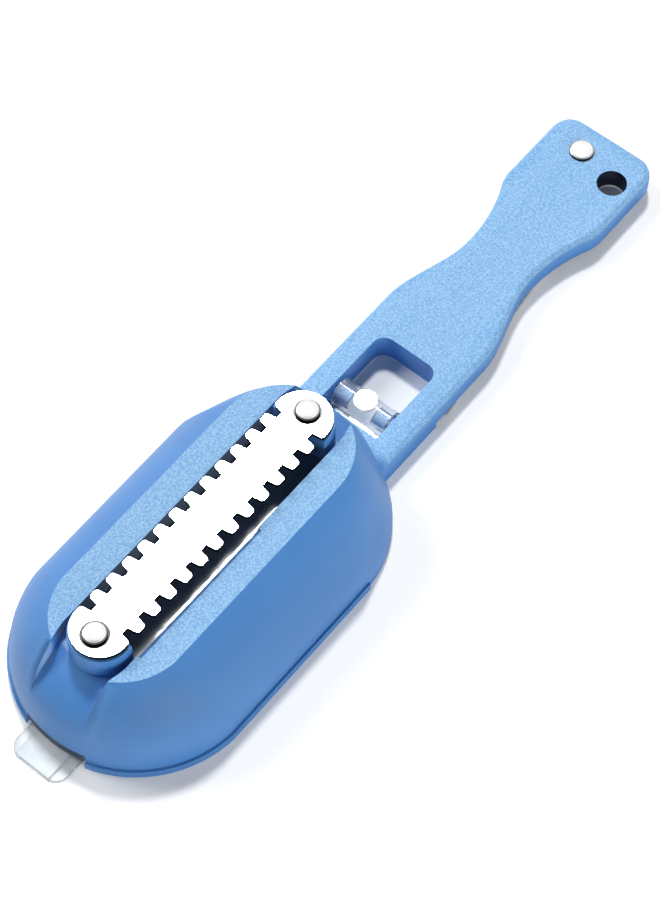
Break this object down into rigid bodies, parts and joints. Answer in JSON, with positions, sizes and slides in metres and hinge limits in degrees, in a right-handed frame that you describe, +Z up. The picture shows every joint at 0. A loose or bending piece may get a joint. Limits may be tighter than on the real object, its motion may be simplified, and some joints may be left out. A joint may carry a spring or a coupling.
{
  "type": "fish scaler",
  "caption": "Hand fish scaler with a toothed steel blade, a hinged clear lid and a folding knife in the handle.",
  "frame": {"origin": "middle of the underside of the whole scaler's box, on the surface that it lies on", "axes": "+X from the lid's tab toward the handle's end, +Y to the left of that with the blade up, +Z up through the blade"},
  "size_m": [0.24, 0.0664, 0.0345],
  "materials": {
    "blue_plastic": "satin",
    "blade_steel": "polished",
    "rivet_steel": "polished",
    "clear_plastic": "clear"
  },
  "bodies": {
    "body": {"housing": "blue_plastic", "scaling_blade": "blade_steel", "front_blade_rivet": "rivet_steel", "rear_blade_rivet": "rivet_steel", "knife_rivet": "rivet_steel"},
    "lid": {"lid": "clear_plastic"},
    "knife": {"knife": "blade_steel"}
  },
  "joints": [
    {"name": "lid_hinge", "type": "hinge", "parent": "body", "child": "lid", "pos_m": [0.0106, 0, 0.0043], "axis": [0, -1, 0], "range_deg": [0, 120]},
    {"name": "knife_pivot", "type": "hinge", "parent": "body", "child": "knife", "pos_m": [0.111, 0.004, 0.00135], "axis": [0, 0, 1], "range_deg": [0, 165]}
  ]
}
